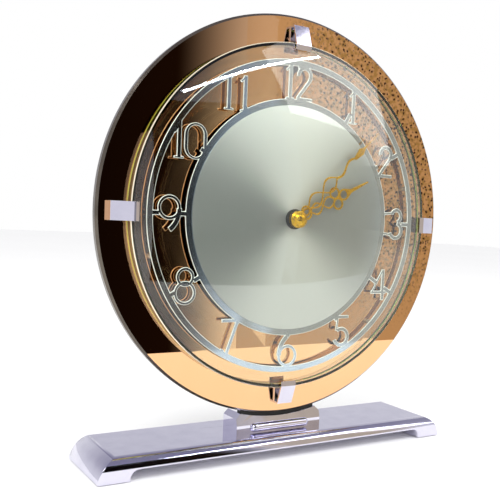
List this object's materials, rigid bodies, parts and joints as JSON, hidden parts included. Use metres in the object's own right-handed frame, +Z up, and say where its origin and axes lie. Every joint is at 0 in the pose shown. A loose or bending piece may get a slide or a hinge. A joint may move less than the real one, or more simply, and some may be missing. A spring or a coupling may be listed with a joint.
{
  "type": "mantel clock",
  "caption": "Round peach mirror clock with a pierced chapter ring under domed glass, on a plated saddle and long low base.",
  "frame": {"origin": "on the table, under the middle of the outline", "axes": "+Z up, the dial faces -Y, +X to the right seen from the front"},
  "size_m": [0.191, 0.0675, 0.2098],
  "materials": {
    "chrome": "polished chromium plate",
    "felt": "felt",
    "rubber_pad": "matt",
    "zinc_steel": "zinc plated",
    "painted_steel": "satin enamel",
    "peach_mirror": "silvered peach glass",
    "clear_glass": "clear",
    "plated_ring": "plated and polished",
    "spun_dial": "spun satin silver",
    "nylon": "natural",
    "brass": "turned",
    "black_lacquer": "gloss lacquer",
    "gilt": "gilt",
    "polished_steel": "polished",
    "blued_steel": "blued"
  },
  "bodies": {
    "case": {"base": "chrome", "foot_felts": "felt", "saddle": "chrome", "saddle_pad": "rubber_pad", "saddle_bar": "chrome", "base_screws": "zinc_steel", "rear_bracket": "painted_steel", "bracket_screws": "zinc_steel", "mirror_disc": "peach_mirror", "felt_gasket": "felt", "backing_plate": "painted_steel", "glass_clips": "chrome", "clip_nuts": "zinc_steel", "domed_glass": "clear_glass", "chapter_ring": "plated_ring", "ring_spacers": "zinc_steel", "dial_centre": "spun_dial", "centre_sleeve": "nylon", "centre_tube": "brass", "tube_nut": "black_lacquer", "minute_wheel_stud": "zinc_steel", "drum_case": "painted_steel", "case_screws": "zinc_steel", "movement_posts": "brass", "post_nuts": "zinc_steel", "front_plate": "brass", "back_plate": "brass", "plate_pillars": "brass", "pillar_screws": "zinc_steel", "click_spring": "polished_steel", "back_cover": "painted_steel", "cover_screws": "zinc_steel"},
    "minute_train": {"minute_collar": "black_lacquer", "minute_hand": "gilt", "hand_nut": "gilt", "cannon_pinion": "brass", "set_shaft": "polished_steel", "set_knob": "brass"},
    "hour_train": {"hour_collar": "black_lacquer", "hour_hand": "gilt", "hour_wheel": "brass"},
    "minute_wheel": {"minute_wheel": "brass"},
    "centre_wheel": {"centre_wheel": "brass"},
    "third_wheel": {"third_wheel": "brass"},
    "fourth_wheel": {"fourth_wheel": "brass"},
    "escape_wheel": {"escape_wheel": "brass"},
    "pallet_lever": {"pallet_lever": "polished_steel"},
    "balance": {"balance_wheel": "brass", "hairspring": "blued_steel"},
    "regulator": {"regulator_lever": "polished_steel"},
    "intermediate_wheel": {"intermediate_wheel": "brass"},
    "barrel": {"spring_barrel": "brass", "mainspring": "blued_steel"},
    "winding": {"winding_arbor": "zinc_steel", "ratchet_wheel": "polished_steel", "winding_key": "brass"},
    "click": {"click_pawl": "polished_steel"}
  },
  "joints": [
    {"name": "hands_setting", "type": "hinge", "parent": "case", "child": "minute_train", "pos_m": [0, -0.0158, 0.1148], "axis": [0, 1, 0], "continuous": true},
    {"name": "hour_hand_turn", "type": "hinge", "parent": "case", "child": "hour_train", "pos_m": [0, -0.0158, 0.1148], "axis": [0, 1, 0], "continuous": true},
    {"name": "minute_wheel_turn", "type": "hinge", "parent": "case", "child": "minute_wheel", "pos_m": [0.00789, -0.0158, 0.11193], "axis": [0, 1, 0], "continuous": true},
    {"name": "fourth_wheel_turn", "type": "hinge", "parent": "case", "child": "fourth_wheel", "pos_m": [0.00259, -0.0158, 0.12851], "axis": [0, 1, 0], "continuous": true},
    {"name": "third_wheel_turn", "type": "hinge", "parent": "case", "child": "third_wheel", "pos_m": [0.00827, -0.0158, 0.12174], "axis": [0, 1, 0], "continuous": true},
    {"name": "centre_wheel_turn", "type": "hinge", "parent": "case", "child": "centre_wheel", "pos_m": [0, -0.0158, 0.1148], "axis": [0, 1, 0], "continuous": true},
    {"name": "intermediate_wheel_turn", "type": "hinge", "parent": "case", "child": "intermediate_wheel", "pos_m": [-0.01022, -0.0158, 0.1113], "axis": [0, 1, 0], "continuous": true},
    {"name": "barrel_turn", "type": "hinge", "parent": "case", "child": "barrel", "pos_m": [0, -0.0158, 0.09872], "axis": [0, 1, 0], "continuous": true},
    {"name": "escape_wheel_turn", "type": "hinge", "parent": "case", "child": "escape_wheel", "pos_m": [-0.00521, -0.0158, 0.12989], "axis": [0, 1, 0], "continuous": true},
    {"name": "pallet_lever_rock", "type": "hinge", "parent": "case", "child": "pallet_lever", "pos_m": [-0.01169, -0.0158, 0.12753], "axis": [0, 1, 0], "range_deg": [-8, 8]},
    {"name": "balance_swing", "type": "hinge", "parent": "case", "child": "balance", "pos_m": [-0.01841, -0.0158, 0.12283], "axis": [0, 1, 0], "range_deg": [-150, 150], "stiffness_Nm_per_rad": 0.0001},
    {"name": "regulator_set", "type": "hinge", "parent": "case", "child": "regulator", "pos_m": [-0.01841, -0.0158, 0.12283], "axis": [0, 1, 0], "range_deg": [-20, 20]},
    {"name": "winding", "type": "hinge", "parent": "case", "child": "winding", "pos_m": [0, -0.0158, 0.09872], "axis": [0, 1, 0], "continuous": true},
    {"name": "click_lift", "type": "hinge", "parent": "case", "child": "click", "pos_m": [0.0092, -0.0158, 0.10372], "axis": [0, -1, 0], "range_deg": [0, 14], "stiffness_Nm_per_rad": 0.001}
  ],
  "couplings": [
    {"joint": "hour_hand_turn", "follows": "hands_setting", "ratio": 0.083333},
    {"joint": "minute_wheel_turn", "follows": "hands_setting", "ratio": -0.33333},
    {"joint": "third_wheel_turn", "follows": "fourth_wheel_turn", "ratio": -0.13333},
    {"joint": "centre_wheel_turn", "follows": "fourth_wheel_turn", "ratio": 0.016667},
    {"joint": "intermediate_wheel_turn", "follows": "fourth_wheel_turn", "ratio": -0.0041667},
    {"joint": "barrel_turn", "follows": "fourth_wheel_turn", "ratio": 0.00064103},
    {"joint": "escape_wheel_turn", "follows": "fourth_wheel_turn", "ratio": -8}
  ]
}
